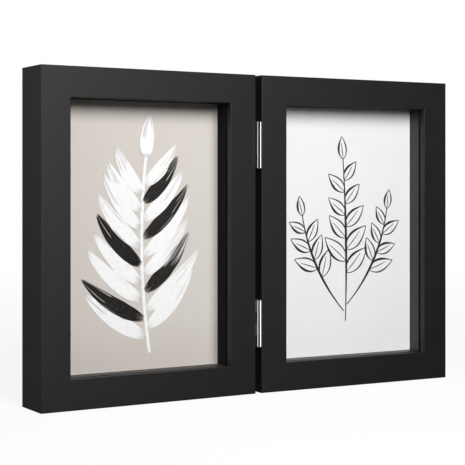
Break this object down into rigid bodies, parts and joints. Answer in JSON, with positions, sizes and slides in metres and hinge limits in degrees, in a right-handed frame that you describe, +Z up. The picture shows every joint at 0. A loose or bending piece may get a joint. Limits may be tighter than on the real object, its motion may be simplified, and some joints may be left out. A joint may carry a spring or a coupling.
{
  "type": "double photo frame",
  "caption": "Free-standing double photo frame: two black box-profile panels hinged side by side, each with glass, a spacer-set photo and a backing board held by turn buttons.",
  "frame": {"origin": "middle of the bounding box in X and Y, at the surface that the bottom rails stand on", "axes": "+Z up, +X to the right along the pair seen from the front, +Y from the fronts to the backs"},
  "size_m": [0.2678, 0.0324, 0.1822],
  "materials": {
    "black_lacquer": "satin black lacquer on wood",
    "matte_black": "matte black stain",
    "clear_glass": "clear polished picture glass",
    "left_paper": "matte warm grey print paper",
    "right_paper": "matte white print paper",
    "grey_board": "corrugated filler board",
    "brown_board": "brown pressed board, smooth",
    "zinc": "zinc-plated pressed steel",
    "nickel": "nickel-plated steel"
  },
  "bodies": {
    "left_panel": {"left_top_rail": "black_lacquer", "left_bottom_rail": "black_lacquer", "left_outer_stile": "black_lacquer", "left_hinge_stile": "black_lacquer", "left_glass": "clear_glass", "left_spacer_top": "matte_black", "left_spacer_bottom": "matte_black", "left_spacer_outer": "matte_black", "left_spacer_hinge": "matte_black", "left_photo_print": "left_paper", "left_filler_pad": "grey_board", "left_backing_board": "brown_board", "left_corner_nails": "zinc", "left_button_screws": "zinc", "left_hinge_screws": "nickel", "upper_hinge_left_leaf": "nickel", "lower_hinge_left_leaf": "nickel", "upper_hinge_pin": "nickel", "lower_hinge_pin": "nickel"},
    "right_panel": {"right_top_rail": "black_lacquer", "right_bottom_rail": "black_lacquer", "right_outer_stile": "black_lacquer", "right_hinge_stile": "black_lacquer", "right_glass": "clear_glass", "right_spacer_top": "matte_black", "right_spacer_bottom": "matte_black", "right_spacer_outer": "matte_black", "right_spacer_hinge": "matte_black", "right_photo_print": "right_paper", "right_filler_pad": "grey_board", "right_backing_board": "brown_board", "right_corner_nails": "zinc", "right_button_screws": "zinc", "right_hinge_screws": "nickel", "upper_hinge_right_leaf": "nickel", "lower_hinge_right_leaf": "nickel"},
    "left_button_top": {"left_button_top": "zinc"},
    "left_button_bottom": {"left_button_bottom": "zinc"},
    "left_button_outer": {"left_button_outer": "zinc"},
    "left_button_hinge": {"left_button_hinge": "zinc"},
    "right_button_top": {"right_button_top": "zinc"},
    "right_button_bottom": {"right_button_bottom": "zinc"},
    "right_button_outer": {"right_button_outer": "zinc"},
    "right_button_hinge": {"right_button_hinge": "zinc"}
  },
  "joints": [
    {"name": "panel_fold", "type": "hinge", "parent": "left_panel", "child": "right_panel", "pos_m": [0, -0.01368, 0.0401], "axis": [0, 0, -1], "range_deg": [-10, 177.6]},
    {"name": "left_button_top_turn", "type": "hinge", "parent": "left_panel", "child": "left_button_top", "pos_m": [-0.06821, 0.0123, 0.1753], "axis": [-0.0209, 0.9998, 0], "range_deg": [-90, 90]},
    {"name": "left_button_bottom_turn", "type": "hinge", "parent": "left_panel", "child": "left_button_bottom", "pos_m": [-0.06821, 0.0123, 0.0069], "axis": [-0.0209, 0.9998, 0], "range_deg": [-90, 90]},
    {"name": "left_button_outer_turn", "type": "hinge", "parent": "left_panel", "child": "left_button_outer", "pos_m": [-0.127, 0.01107, 0.0911], "axis": [-0.0209, 0.9998, 0], "range_deg": [-90, 90]},
    {"name": "left_button_hinge_turn", "type": "hinge", "parent": "left_panel", "child": "left_button_hinge", "pos_m": [-0.00942, 0.01353, 0.0911], "axis": [-0.0209, 0.9998, 0], "range_deg": [-90, 90]},
    {"name": "right_button_top_turn", "type": "hinge", "parent": "right_panel", "child": "right_button_top", "pos_m": [0.06821, 0.0123, 0.1753], "axis": [0.0209, 0.9998, 0], "range_deg": [-90, 90]},
    {"name": "right_button_bottom_turn", "type": "hinge", "parent": "right_panel", "child": "right_button_bottom", "pos_m": [0.06821, 0.0123, 0.0069], "axis": [0.0209, 0.9998, 0], "range_deg": [-90, 90]},
    {"name": "right_button_outer_turn", "type": "hinge", "parent": "right_panel", "child": "right_button_outer", "pos_m": [0.127, 0.01107, 0.0911], "axis": [0.0209, 0.9998, 0], "range_deg": [-90, 90]},
    {"name": "right_button_hinge_turn", "type": "hinge", "parent": "right_panel", "child": "right_button_hinge", "pos_m": [0.00942, 0.01353, 0.0911], "axis": [0.0209, 0.9998, 0], "range_deg": [-90, 90]}
  ]
}
